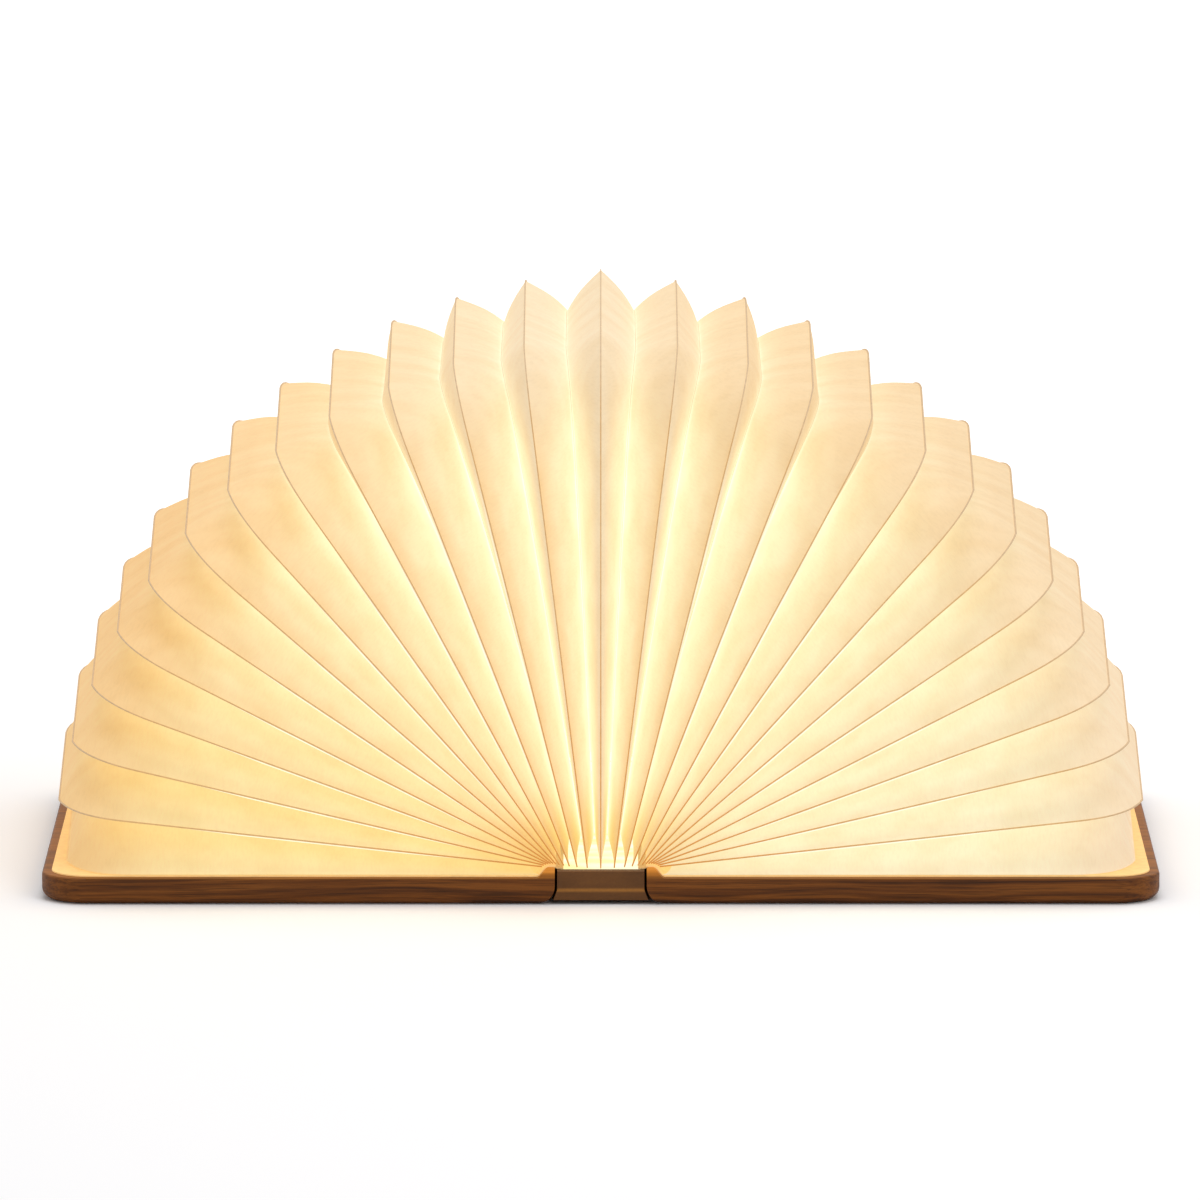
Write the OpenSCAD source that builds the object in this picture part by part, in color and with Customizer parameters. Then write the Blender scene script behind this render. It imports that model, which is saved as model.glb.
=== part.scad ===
// Folding book lamp, opened flat to a half circle of pleated paper.
// Origin: middle of the footprint, on the surface that the covers lie on.
// X runs across the open covers, Y runs along the spine, Z is up.

/* [Covers] */
// Length of each wooden cover, spine end to outer edge
cover_w = 167.6; // [150:0.1:185]
// Depth of each cover along the spine
cover_d = 215; // [180:1:240]
// Thickness of the wooden board
cover_t = 8.6; // [8:0.1:10]
// Plan radius of the two outer corners
cover_corner_r = 15; // [10:1:20]
// Rounding of the lower edge, front, outer side and back
cover_low_r = 3.5; // [2:0.1:4]
// Rounding of the upper edge
cover_top_r = 1; // [0.6:0.1:1.5]
// Rounding of the lower edge at the spine
cover_heel_r = 6; // [4:0.1:7]
// Height of the raised lip at the spine, over the board
lip_h = 3.3; // [2:0.1:3.5]
// Width of the lip's flat top
lip_flat = 2; // [1.5:0.1:3]
// Length of the lip's slope down to the board
lip_slope = 4; // [3:0.1:6]

/* [Spine] */
// Width of the spine between the covers
spine_w = 28.4; // [27:0.1:32]
// Width across the flared foot of the spine
spine_foot_w = 31; // [30:0.1:33]
// Height of the spine's body
spine_h = 9.8; // [9.4:0.1:11]
// Height of the flared foot
spine_foot_h = 3.3; // [2.5:0.1:4]
// Space between the spine and the surface below it
spine_lift = 1.3; // [1:0.1:2]
// How much shorter the spine is than the covers, at each end
spine_inset = 1; // [0:0.1:3]
// Gap between the spine's side and the cover's end
spine_gap = 0.8; // [0.6:0.1:1.5]
// Thickness of each end cap
cap_t = 2.5; // [2:0.1:4]
// Wall and floor of the channel
channel_wall = 1.2; // [1:0.1:1.5]
// Length of the plug on each end cap
plug_l = 6; // [4:0.5:10]
// Clearance round the plugs
plug_gap = 0.1; // [0.05:0.05:0.3]

/* [Light] */
// Thickness of the light board
light_board_t = 1; // [0.8:0.1:1.2]
// Number of light chips
led_count = 24; // [8:1:24]
// Side of a light chip
led_side = 2.8; // [2:0.1:3.5]
// Height of a light chip
led_h = 0.7; // [0.5:0.1:0.8]
// Thickness of the frosted strip
diffuser_t = 1; // [0.8:0.1:1.2]
// Thickness of the battery
battery_t = 4.4; // [3:0.1:4.6]
// Width of the battery
battery_w = 20; // [14:0.5:20.5]
// Length of the battery
battery_l = 100; // [60:1:110]
// Length of the charging board
charge_l = 36; // [30:1:50]
// Bare length at each end of the row of light chips
led_margin = 6; // [3:0.5:12]

/* [Pages] */
// Pages on each side of the middle one
side_pages = 12; // [6:1:12]
// Length of the outermost page from its root
page_l = 168; // [150:0.5:169]
// Extra length of the middle page
page_crown = 7.5; // [0:0.5:12]
// Shortness of the pages half way round
page_dip = 6; // [0:0.5:10]
// Distance from the cover's edge in to the paper
paper_inset = 3.2; // [2:0.1:6]
// Angle from the middle page to the first one beside it
first_step = 7; // [6.5:0.1:7.6]
// Angle of the outermost page from upright
last_turn = 83.7; // [78:0.1:84]
// Length of a page's round free corners, along the page
page_corner_l = 18; // [8:1:24]
// Width of the free corners, along the free edge
page_corner_w = 52; // [15:1:60]
// Bare length of the outermost ridge above the spine
ridge_foot = 5; // [2:0.5:8]
// Distance of the last ridge from the lining's outer edge
ridge_inset = 0.6; // [0.3:0.1:2]
// Depth of the pleat on the front and back edges
pleat_side = 30; // [15:1:40]
// Depth of the pleat on the outer edge
pleat_end = 9.5; // [6:0.5:16]
// Length of the pleat's inner corners, along the page
pleat_corner_l = 9; // [5:1:16]
// Width of the pleat's inner corners, along the free edge
pleat_corner_w = 30; // [8:1:40]
// Thickness of the paper as drawn
paper_t = 0.25; // [0.2:0.01:0.3]
// Thickness of the lining sheet on each cover
lining_t = 0.4; // [0.3:0.05:0.5]
// Half of the gap between two pages at a valley
valley_gap = 0.15; // [0.1:0.01:0.2]
// Height of the arched slots between the pages at the spine
arch_h = 8; // [7:0.5:12]
// Extra height of the slots beside the covers
arch_grow = 4; // [0:0.5:6]

/* [Magnets] */
// Diameter of a closing magnet
magnet_d = 10; // [6:0.5:12]
// Thickness of a closing magnet
magnet_t = 2; // [1:0.1:3]
// Distance from the cover's outer edge to a magnet's middle
magnet_edge = 14; // [10:0.5:20]
// Diameter of the switching magnet near the spine
trigger_d = 4; // [3:0.5:5]
// Clearance round a magnet in its pocket
magnet_gap = 0.1; // [0.05:0.05:0.2]

/* [Hidden] */
$fn = 48;
ARC = 8;
SIDES = ["left", "right"];

// Places across the lamp
spine_top = spine_lift + spine_h;
cover_in = spine_w / 2 + spine_gap;
cover_out = cover_in + cover_w;
lip_top = cover_t + lip_h;
slope_in = cover_in + lip_flat;
slope_out = slope_in + lip_slope;
spine_d = cover_d - 2 * spine_inset;
channel_d = spine_d - 2 * cap_t;
paper_d = cover_d - 2 * paper_inset;
lining_out = cover_out - paper_inset;
lining_corner_r = cover_corner_r - 2;
EDGE = [0, 0.3, 0.65];
CORNER = 6;

// Hinge line of each cover, at the top of the gap beside the spine
hinge_x = spine_w / 2 + 0.2;
hinge_z = lip_top + 0.1;

// Section of the channel
slot_h = light_board_t + 0.1;
board_gap = 0.1;
rebate = 1.2;
floor_z = spine_lift + channel_wall;
diffuser_z = spine_top - diffuser_t;
board_z = diffuser_z - 2.1;
cell_w = spine_w - 2 * (channel_wall + 2.2);
board_w = cell_w + 2 * rebate;
window_w = cell_w + 0.4;
diffuser_w = spine_w - 2 * channel_wall;
cell_top = board_z;
cap_body_y = spine_d / 2 - cap_t;

// Charging end
socket_w = 8.94;
socket_h = 3.2;
socket_l = 7.4;
socket_gap = 0.15;
tray_t = 1;
tray_w = 18;
charge_w = 16;
charge_t = 1;
tray_z = floor_z + plug_gap;
charge_z = tray_z + tray_t;
socket_z = charge_z + charge_t;
charge_y = cap_body_y - 0.3 - charge_l;
screw_d = 1.6;
screw_head_d = 3;
screw_head_h = 0.8;
screw_inset = 5;
pad_t = 0.4;
battery_z = floor_z + pad_t;
battery_y = -18;
lead_d = 0.9;
lead_pitch = 2.4;
sensor_size = [1.6, 2.9, 1];
sensor_y = 60;
magnet_y = cover_d / 2 - magnet_edge - 14;
trigger_t = 2;
trigger_x = slope_out + trigger_d / 2 + 2;
cloth_w = 2;
cloth_t = 0.4;

// Roots and angles of the pages, counted from the middle page outwards
root_half = spine_w / 2;
root_z = spine_top + 0.3;
root_crowd = 4.6;
last = side_pages + 1;
step_fall = (first_step * side_pages - last_turn) / (side_pages * (side_pages - 1));
valley_least = 0.6;
side_tilt = 0.48;
end_tilt = 0.42;
lining_top = cover_t + lining_t;

function arc(c, r, a0, a1, n = ARC) =
    [for (i = [0:n]) let (a = a0 + (a1 - a0) * i / n) c + r * [cos(a), sin(a)]];
function ease(s) = 0.5 + 0.5 * cos(180 * s);
function mix(a, b, s) = a + (b - a) * s;
function unit(v) = v / norm(v);

// Turn of page k from upright; the covers stand for the last one
function turn(k) = k > side_pages ? 90 : (first_step + step_fall) * k - step_fall * k * k;
function root_x(k) = root_half * (1 - pow(max(0, 1 - k / last), root_crowd));
function root(k) = [root_x(k), k > side_pages ? lining_top + 0.2 : root_z];
function page_len(k) =
    k > side_pages
    ? lining_out - ridge_inset - root_x(k)
    : let (s = k / side_pages) page_l + page_crown * (1 - s) - 4 * page_dip * s * (1 - s);
// A point of page k, u along the page from its root, in X and Z
function on_page(k, u) = root(k) + u * [sin(turn(k)), cos(turn(k))];
// How far a valley leans towards the page above it, on the sides and on the outer edge
function side_lean(g) = 0.5 + side_tilt * (1 - exp(-(g - 1) / 3.2));
function end_lean(g) = 0.5 + end_tilt * (1 - exp(-pow((g - 1) / 5, 2)));
function width_at(g, u) = norm(on_page(g, u) - on_page(g - 1, u));
function lean_at(g, u, f) =
    let (w = width_at(g, u))
    w < 2 * valley_least ? 0.5 : min(f, 1 - valley_least / w);

// Stations along half a page's edge, each [u, v]: up the side, round the corner, to the end
function edge_points(u0, len, corner, edge_y) =
    let (side_end = len - corner.x)
    concat(
        [for (s = EDGE) [mix(u0, side_end, s), edge_y]],
        [for (p = arc([0, 0], 1, -90, 0, CORNER))
            [side_end + p.x * corner.x, edge_y + (p.y + 1) * corner.y]]
    );
function ridge_start(k) =
    k > side_pages ? arch_h : ridge_foot * pow(k / side_pages, 1.4);
function valley_start(g) = arch_h + arch_grow * g / last;
function ridge_half(k) =
    edge_points(ridge_start(k), page_len(k), [page_corner_l, page_corner_w], -paper_d / 2);
function valley_half(g) =
    let (len = min(page_len(g), page_len(g - 1)) - pleat_end)
    edge_points(valley_start(g), len, [pleat_corner_l, pleat_corner_w],
                pleat_side - paper_d / 2);
function both_halves(h) =
    concat(h, [for (i = [len(h) - 1:-1:0]) [h[i].x, -h[i].y]]);
function leans(g) = concat(
    [for (s = EDGE) side_lean(g)],
    [for (i = [0:CORNER]) mix(side_lean(g), end_lean(g), i / CORNER)]
);
function full_leans(g) =
    let (h = leans(g)) concat(h, [for (i = [len(h) - 1:-1:0]) h[i]]);

// A valley point of gap g, moved by shift towards page g (plus) or page g - 1 (minus)
function valley_point(g, p, f, shift) =
    let (
        low = on_page(g, p.x),
        high = on_page(g - 1, p.x),
        across = unit(high - low),
        at = mix(low, high, lean_at(g, p.x, f)) - across * shift
    )
    [at.x, p.y, at.y];
function page_point(k, p) = let (at = on_page(k, p.x)) [at.x, p.y, at.y];
function flip_x(p) = [-p.x, p.y, p.z];

// Inner edge of the ridge, set back so that the two sheets keep their thickness
function set_back(r, v, half) =
    let (way = v - r, depth = norm(way))
    r + way / depth * min(0.6 * depth, paper_t * depth / half);

// Loops of one page: six points at each station, outer face then inner face
function page_loops(k) =
    let (
        ridge = both_halves(ridge_half(k)),
        up_g = max(k, 1),
        up = both_halves(valley_half(up_g)),
        down = both_halves(valley_half(k + 1)),
        up_f = full_leans(up_g),
        down_f = full_leans(k + 1)
    )
    [for (i = [0:len(ridge) - 1])
        let (
            w_up = width_at(up_g, up[i].x) * lean_at(up_g, up[i].x, up_f[i]),
            w_down = width_at(k + 1, down[i].x) * (1 - lean_at(k + 1, down[i].x, down_f[i])),
            half = ((k == 0 ? w_down : w_up) + w_down) / 2 - valley_gap,
            mean = (up[i] + down[i]) / 2,
            near = valley_gap,
            far = valley_gap + paper_t
        )
        [
            k == 0
                ? flip_x(valley_point(1, up[i], up_f[i], -near))
                : valley_point(up_g, up[i], up_f[i], near),
            page_point(k, ridge[i]),
            valley_point(k + 1, down[i], down_f[i], -near),
            valley_point(k + 1, down[i], down_f[i], -far),
            page_point(k, set_back(ridge[i], mean, half)),
            k == 0
                ? flip_x(valley_point(1, up[i], up_f[i], -far))
                : valley_point(up_g, up[i], up_f[i], far)
        ]
    ];

// Loops of the half pleat that joins the last page to the lining
function end_pleat_loops() =
    let (
        ridge = both_halves(ridge_half(last)),
        up = both_halves(valley_half(last)),
        f = full_leans(last)
    )
    [for (i = [0:len(ridge) - 1])
        let (
            rise = width_at(last, up[i].x) * lean_at(last, up[i].x, f[i]) - valley_gap
        )
        [
            valley_point(last, up[i], f[i], valley_gap),
            page_point(last, ridge[i]),
            page_point(last, set_back(ridge[i], up[i], rise)),
            valley_point(last, up[i], f[i], valley_gap + paper_t)
        ]
    ];

// A closed sheet through loops of points, two triangles to each four-sided patch
module loft(loops) {
    n = len(loops);
    m = len(loops[0]);
    points = [for (l = loops) for (p = l) p];
    // The outer and the inner face are cut along the same diagonals, alike at front and back
    sides = [
        for (i = [0:n - 2]) for (j = [0:m - 1])
            let (a = i * m + j, b = i * m + (j + 1) % m)
            each (j < m / 2) == (i < (n - 1) / 2)
                ? [[a, a + m, b], [b, a + m, b + m]]
                : [[a, b + m, b], [a, a + m, b + m]]
    ];
    first = m == 6
        ? [[0, 4, 5], [0, 1, 4], [1, 3, 4], [1, 2, 3]]
        : [[0, 2, 3], [0, 1, 2]];
    end = (n - 1) * m;
    rear = [for (t = first) [end + t[0], end + t[2], end + t[1]]];
    polyhedron(points, concat(sides, first, rear), convexity = 6);
}

module on_side(side) {
    mirror([side == "left" ? 1 : 0, 0, 0]) children();
}

// Section outlines

function top_line() = concat(
    [[slope_in, lip_top]],
    [for (i = [1:ARC]) [slope_in + lip_slope * i / ARC, cover_t + lip_h * ease(i / ARC)]]
);

// The board seen along the spine, heel and lip at the left
module board_profile() {
    polygon(concat(
        arc([cover_in + cover_heel_r, cover_heel_r], cover_heel_r, 270, 180),
        arc([cover_in + cover_top_r, lip_top - cover_top_r], cover_top_r, 180, 90),
        top_line(),
        arc([cover_out - cover_top_r, cover_t - cover_top_r], cover_top_r, 90, 0),
        arc([cover_out - cover_low_r, cover_low_r], cover_low_r, 0, -90)
    ));
}

// The rounded edge of the board, out to a distance of reach
module edge_section(reach, height) {
    polygon(concat(
        [[0, 0]],
        arc([reach - cover_low_r, cover_low_r], cover_low_r, -90, 0),
        arc([reach - cover_top_r, height - cover_top_r], cover_top_r, 0, 90),
        [[0, height]]
    ));
}

module along_y(depth) {
    translate([0, depth / 2, 0]) rotate([90, 0, 0]) linear_extrude(depth) children();
}

// Solid board with rounded edges and two round outer corners
module board() {
    corner = [cover_out - cover_corner_r, cover_d / 2 - cover_corner_r];
    difference() {
        intersection() {
            along_y(cover_d) board_profile();
            translate([cover_in, 0, 0]) rotate([90, 0, 90]) linear_extrude(cover_w)
                for (m = [0, 1]) mirror([m, 0]) edge_section(cover_d / 2, lip_top);
        }
        for (s = [-1, 1])
            translate([corner.x, s * corner.y - (s < 0 ? cover_corner_r + 1 : 0), -1])
                cube([cover_corner_r + 1, cover_corner_r + 1, lip_top + 2]);
    }
    for (s = [0, 1])
        mirror([0, s, 0]) translate([corner.x, corner.y, 0])
            rotate_extrude(angle = 90) edge_section(cover_corner_r, cover_t);
}

module magnet_places() {
    for (s = [-1, 1])
        translate([cover_out - magnet_edge, s * magnet_y, 0]) children();
}

// Covers and what they carry

module cover(side) {
    color("saddlebrown") on_side(side) difference() {
        board();
        magnet_places()
            translate([0, 0, cover_t - magnet_t - magnet_gap])
                cylinder(d = magnet_d + 2 * magnet_gap, h = magnet_t + 1);
        translate([trigger_x, sensor_y, cover_t - trigger_t - magnet_gap])
            cylinder(d = trigger_d + 2 * magnet_gap, h = trigger_t + 1);
    }
}

module lining_plan() {
    difference() {
        translate([0, -paper_d / 2]) square([lining_out, paper_d]);
        for (s = [-1, 1])
            translate([lining_out - lining_corner_r, s * (paper_d / 2 - lining_corner_r)])
                difference() {
                    translate([0, s < 0 ? -lining_corner_r - 1 : 0])
                        square(lining_corner_r + 1);
                    circle(lining_corner_r);
                }
    }
}

module lining(side) {
    lower = concat([[hinge_x + 0.3, lip_top]], top_line(), [[lining_out, cover_t]]);
    upper = [for (i = [len(lower) - 1:-1:0]) lower[i] + [0, lining_t]];
    color("oldlace") on_side(side) intersection() {
        along_y(paper_d) polygon(concat(lower, upper));
        linear_extrude(lip_top + 2) lining_plan();
    }
}

module closing_magnets(side) {
    color("silver") on_side(side) magnet_places()
        translate([0, 0, cover_t - magnet_t - magnet_gap / 2])
            cylinder(d = magnet_d, h = magnet_t);
}

module trigger_magnet(side) {
    color("silver") on_side(side)
        translate([trigger_x, sensor_y, cover_t - trigger_t - magnet_gap / 2])
            cylinder(d = trigger_d, h = trigger_t);
}

module end_pleat(side) {
    color("moccasin") on_side(side) loft(end_pleat_loops());
}

// Pages

module page(side, k) {
    color(k % 2 == 0 ? "blanchedalmond" : "moccasin") on_side(side) loft(page_loops(k));
}

module middle_page() {
    color("blanchedalmond") loft(page_loops(0));
}

// Spine

module spine_outline() {
    polygon([
        [-spine_w / 2, spine_top],
        [-spine_w / 2, spine_lift + spine_foot_h],
        [-spine_foot_w / 2, spine_lift],
        [spine_foot_w / 2, spine_lift],
        [spine_w / 2, spine_lift + spine_foot_h],
        [spine_w / 2, spine_top]
    ]);
}

module box_2d(width, z0, z1) {
    translate([-width / 2, z0]) square([width, z1 - z0]);
}

module spine_channel() {
    color("#5a4330") along_y(channel_d) difference() {
        spine_outline();
        box_2d(cell_w, floor_z, cell_top + 0.5);
        box_2d(board_w, board_z, board_z + slot_h);
        box_2d(window_w, board_z, spine_top + 1);
        box_2d(diffuser_w, diffuser_z, spine_top + 1);
    }
}

// Plate with a bevelled face, and a plug that fits the battery bay
module end_cap(opening) {
    bevel = 0.4;
    difference() {
        union() {
            translate([0, -cap_body_y, 0]) rotate([90, 0, 0])
                linear_extrude(cap_t) spine_outline();
            translate([0, -cap_body_y, 0]) mirror([0, 1, 0])
                rotate([90, 0, 0]) linear_extrude(plug_l)
                    box_2d(cell_w - 2 * plug_gap, floor_z + plug_gap, cell_top - plug_gap);
        }
        translate([0, -spine_d / 2, spine_top]) rotate([45, 0, 0])
            cube([spine_foot_w + 2, bevel * sqrt(2), bevel * sqrt(2)], center = true);
        if (opening) {
            width = socket_w + 2 * socket_gap;
            height = socket_h + 2 * socket_gap;
            translate([0, 1 - cap_body_y + plug_l, socket_z + socket_h / 2]) rotate([90, 0, 0])
                linear_extrude(cap_t + plug_l + 2) rounded_slot(width, height);
            translate([-charge_w / 2 - socket_gap, 0.3 - cap_body_y, charge_z])
                cube([charge_w + 2 * socket_gap, plug_l + 1, cell_top]);
        }
    }
}

module rounded_slot(width, height) {
    square([width - height, height], center = true);
    for (s = [-1, 1]) translate([s * (width - height) / 2, 0]) circle(d = height);
}

module front_end_cap() {
    color("#4d3724") end_cap(false);
}

module charge_screw_places() {
    for (s = [-1, 1])
        translate([s * (charge_w / 2 - 2), charge_y + screw_inset, 0]) children();
}

// The rear cap also carries the tray of the charging board
module rear_end_cap() {
    color("#4d3724") {
        rotate([0, 0, 180]) end_cap(true);
        difference() {
            translate([-tray_w / 2, charge_y, tray_z])
                cube([tray_w, cap_body_y - charge_y - plug_l + 0.5, tray_t]);
            charge_screw_places() translate([0, 0, tray_z - 1]) cylinder(d = screw_d, h = 3);
        }
    }
}

module light_board() {
    color("whitesmoke")
        translate([-board_w / 2 + board_gap, -channel_d / 2 + 0.5, board_z])
            cube([board_w - 2 * board_gap, channel_d - 1, light_board_t]);
}

module led_chips() {
    pitch = (channel_d - 2 * led_margin) / led_count;
    color("khaki") for (i = [0:led_count - 1])
        translate([0, (i - (led_count - 1) / 2) * pitch, board_z + light_board_t + led_h / 2])
            cube([led_side, led_side, led_h], center = true);
}

module diffuser() {
    color("ivory")
        translate([-diffuser_w / 2 + board_gap, -channel_d / 2, diffuser_z])
            cube([diffuser_w - 2 * board_gap, channel_d, diffuser_t]);
}

module fold_sensors() {
    color("dimgray") for (s = [-1, 1])
        translate([s * (cell_w / 2 - 2) - sensor_size.x / 2, sensor_y - sensor_size.y / 2,
                   board_z - sensor_size.z])
            cube(sensor_size);
}

module battery_pad() {
    color("dimgray") translate([-battery_w / 2 + 1, battery_y - battery_l / 2 + 4, floor_z])
        cube([battery_w - 2, battery_l - 8, pad_t]);
}

// Flat pouch cell with round long edges
module battery() {
    color("silver") translate([0, battery_y, battery_z + battery_t / 2]) rotate([90, 0, 0])
        translate([0, 0, -battery_l / 2]) linear_extrude(battery_l)
            rounded_slot(battery_w, battery_t);
}

module charge_board() {
    color("seagreen") difference() {
        translate([-charge_w / 2, charge_y, charge_z]) cube([charge_w, charge_l, charge_t]);
        charge_screw_places() translate([0, 0, charge_z - 1])
            cylinder(d = screw_d + 0.2, h = 3);
    }
}

module board_screws() {
    color("silver") charge_screw_places() {
        translate([0, 0, tray_z]) cylinder(d = screw_d, h = tray_t + charge_t);
        translate([0, 0, socket_z]) cylinder(d = screw_head_d, h = screw_head_h);
    }
}

module control_chips() {
    color("dimgray") {
        translate([-3, charge_y + 12, socket_z]) cube([6, 6, 1]);
        translate([-5, charge_y + 22, socket_z]) cube([3, 3, 1]);
    }
}

// Metal shell of the charging socket, with its tongue
module usb_socket() {
    wall = 0.3;
    color("silver") translate([0, spine_d / 2 - 0.4, socket_z + socket_h / 2]) rotate([90, 0, 0]) {
        difference() {
            linear_extrude(socket_l) rounded_slot(socket_w, socket_h);
            translate([0, 0, -1]) linear_extrude(socket_l - wall)
                rounded_slot(socket_w - 2 * wall, socket_h - 2 * wall);
        }
        translate([0, 0, socket_l / 2 + 0.6])
            cube([6.6, 0.7, socket_l - 1.6], center = true);
    }
}

module battery_leads() {
    start = battery_y + battery_l / 2;
    color("firebrick") for (s = [-1, 1])
        translate([s * lead_pitch, start, socket_z + lead_d / 2]) rotate([-90, 0, 0])
            cylinder(d = lead_d, h = charge_y + 3 - start);
}

module light_leads() {
    color("white") for (s = [-1, 1])
        translate([s * 5, charge_y + 12, socket_z]) cylinder(d = lead_d, h = board_z - socket_z);
}

module hinge_cloth(side) {
    color("tan") on_side(side)
        translate([spine_w / 2 - cloth_w, -channel_d / 2, spine_top])
            cube([cloth_w, channel_d, cloth_t]);
}

function page_name(side, k) = str(side, "_page_", k < 10 ? "0" : "", k);

spine_channel();
front_end_cap();
rear_end_cap();
light_board();
led_chips();
diffuser();
fold_sensors();
battery_pad();
battery();
charge_board();
board_screws();
control_chips();
usb_socket();
battery_leads();
light_leads();
middle_page();
hinge_cloth("left");  // left_hinge_cloth
hinge_cloth("right");  // right_hinge_cloth
cover("left");  // left_cover
cover("right");  // right_cover
lining("left");  // left_lining
lining("right");  // right_lining
closing_magnets("left");  // left_closing_magnets
closing_magnets("right");  // right_closing_magnets
trigger_magnet("left");  // left_trigger_magnet
trigger_magnet("right");  // right_trigger_magnet
end_pleat("left");  // left_end_pleat
end_pleat("right");  // right_end_pleat
for (s = SIDES) for (k = [1:side_pages])
    page(s, k);
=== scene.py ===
import math

import bmesh
import bpy
import numpy as np
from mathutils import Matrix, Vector


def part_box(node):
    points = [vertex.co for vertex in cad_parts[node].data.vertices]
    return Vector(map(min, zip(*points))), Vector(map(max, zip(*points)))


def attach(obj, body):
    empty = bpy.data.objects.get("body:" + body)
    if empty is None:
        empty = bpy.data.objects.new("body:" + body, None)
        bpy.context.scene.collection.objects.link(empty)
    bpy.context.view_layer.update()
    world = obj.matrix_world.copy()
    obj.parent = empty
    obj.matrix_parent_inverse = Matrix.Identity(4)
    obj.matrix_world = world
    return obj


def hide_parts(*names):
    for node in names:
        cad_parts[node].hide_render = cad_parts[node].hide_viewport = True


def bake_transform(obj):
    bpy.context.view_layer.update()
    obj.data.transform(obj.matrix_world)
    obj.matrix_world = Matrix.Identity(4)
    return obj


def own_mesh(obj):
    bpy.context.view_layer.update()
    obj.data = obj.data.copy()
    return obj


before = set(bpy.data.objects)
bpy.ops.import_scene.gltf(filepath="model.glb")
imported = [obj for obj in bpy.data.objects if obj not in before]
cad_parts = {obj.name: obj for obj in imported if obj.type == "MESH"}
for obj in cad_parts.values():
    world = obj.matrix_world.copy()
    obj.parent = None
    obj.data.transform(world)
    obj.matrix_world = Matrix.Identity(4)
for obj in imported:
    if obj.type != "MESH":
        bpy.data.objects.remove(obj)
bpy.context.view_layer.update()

bl_info = {
    "name": "Folding Book Lamp",
    "version": (1, 0, 0),
    "blender": (4, 5, 0),
    "location": "View3D > Sidebar > Book Lamp",
    "description": "Pleated paper, walnut, bronze and light for the folding book lamp",
    "category": "Object",
}

SIDES = {"left": -1, "right": 1}

# Stations along a page's edge: up the side, round the corner and, between the two
# corners, across the end
RISE = np.array([0, 0.04, 0.09, 0.16, 0.25, 0.36, 0.48, 0.6, 0.72, 0.83, 0.93])
CORNER = np.linspace(0, 1, 11)
ACROSS = np.array([0.15, 0.325, 0.5, 0.675, 0.85])
# Places across a sheet, from its ridge to its valley
FOLD = np.array([0, 0.025, 0.07, 0.18, 0.34, 0.52, 0.7, 0.87, 1])
# Share of the roll beside a ridge, at those places
ROLL = np.array([0, 1, 1, 0.4, 0, 0, 0, 0, 0])
# Share of the roll up a page's side, at these heights of RISE
ROLL_RISE = ((0.1, 0.3, 0.72, 0.93), (0, 1, 1, 0))
# How the bare foot of a ridge grows from the middle page to the outermost
FOOT_GROWTH = 1.4
# Least height of a sheet's inner face over the middle of its page, in metres
INNER_LEAST = 0.00002
# Shift of the paper's fibre pattern from one page to the next, in metres
FIBRE_SHIFT = 0.37
# Angle between faces above which an edge stays sharp
SHARP_EDGE = math.radians(35)
# A valley's place between its two pages: where it starts, how much it rises, the
# page where that begins and how many pages it takes; at the sides, and at the end
SIDE_LEAN = (0.5, 0.48, 0.35, 2.6)
END_LEAN = (0.5, 0.42, 0.7, 4.2)
# Light on the rims, from the lowest page at the left to the lowest at the right
RIM_LIGHT = ((0, (0.56, 0.33, 0.10)), (0.15, (0.54, 0.28, 0.05)), (0.3, (0.58, 0.37, 0.14)),
             (0.48, (0.55, 0.44, 0.30)), (0.6, (0.53, 0.35, 0.16)), (0.8, (0.50, 0.34, 0.17)),
             (1, (0.57, 0.44, 0.30)))
# How much the paper lights the wood, by height in 80ths of a metre
LIT_HEIGHTS = ((0.64, (0, 0, 0)), (0.72, (0.3, 0.3, 0.3)), (0.95, (1, 1, 1)))
# Painted highlight along the spine's bend, by height in hundredths of a metre
HIGHLIGHT_HEIGHTS = ((0.36, (0, 0, 0)), (0.46, (0.5, 0.5, 0.5)), (0.56, (0, 0, 0)))
# Shade of the darkest speckles on the small parts, against the rest
SPECKLE = 0.88
# Softboxes: name, place, size in metres and power in watts; and what they point at
SOFTBOXES = (("overhead_softbox", (0.1, 0.0, 1.9), 1.6, 14),
             ("right_softbox", (0.9, -1.5, 1.0), 1.0, 5))
SOFTBOX_AIM = Vector((0, 0, 0.06))
# Colour of the light from all round
DOME_COLOUR = (1, 0.985, 0.96, 1)
# The floor, in metres: its reach, its drop under the lamp and where it is whitest
FLOOR_HALF, FLOOR_DROP, FLOOR_FAR = 12, 0.0002, 2.5
# The floor's colour that lights the lamp, and the tint that is seen
FLOOR_PAINT = (0.75, 0.74, 0.72)
FLOOR_TINT = (0.985, 0.987, 1.01)
# How the floor whitens: share of the way back, and share of the backdrop's white
FLOOR_STEPS = ((0.02, 0), (0.2, 0.35), (0.85, 1))


def node_top(name):
    """Height of a node's top."""
    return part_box(name)[1].z


def node_size(name, axis):
    """A node's size along an axis."""
    low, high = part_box(name)
    return high[axis] - low[axis]


def length(name, description, default, low=0.0, high=1.0):
    return bpy.props.FloatProperty(
        name=name, description=description, default=default, min=low, max=high,
        precision=5, subtype="DISTANCE", unit="LENGTH")


def angle(name, description, degrees):
    return bpy.props.FloatProperty(
        name=name, description=description, default=math.radians(degrees),
        subtype="ANGLE", unit="ROTATION")


def factor(name, description, default, high=1.0):
    return bpy.props.FloatProperty(
        name=name, description=description, default=default, min=0, max=high,
        subtype="FACTOR")


def amount(name, description, default):
    return bpy.props.FloatProperty(
        name=name, description=description, default=default, min=0)


def colour(name, description, default):
    return bpy.props.FloatVectorProperty(
        name=name, description=description, default=default, size=3, min=0, max=1,
        subtype="COLOR")


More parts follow.
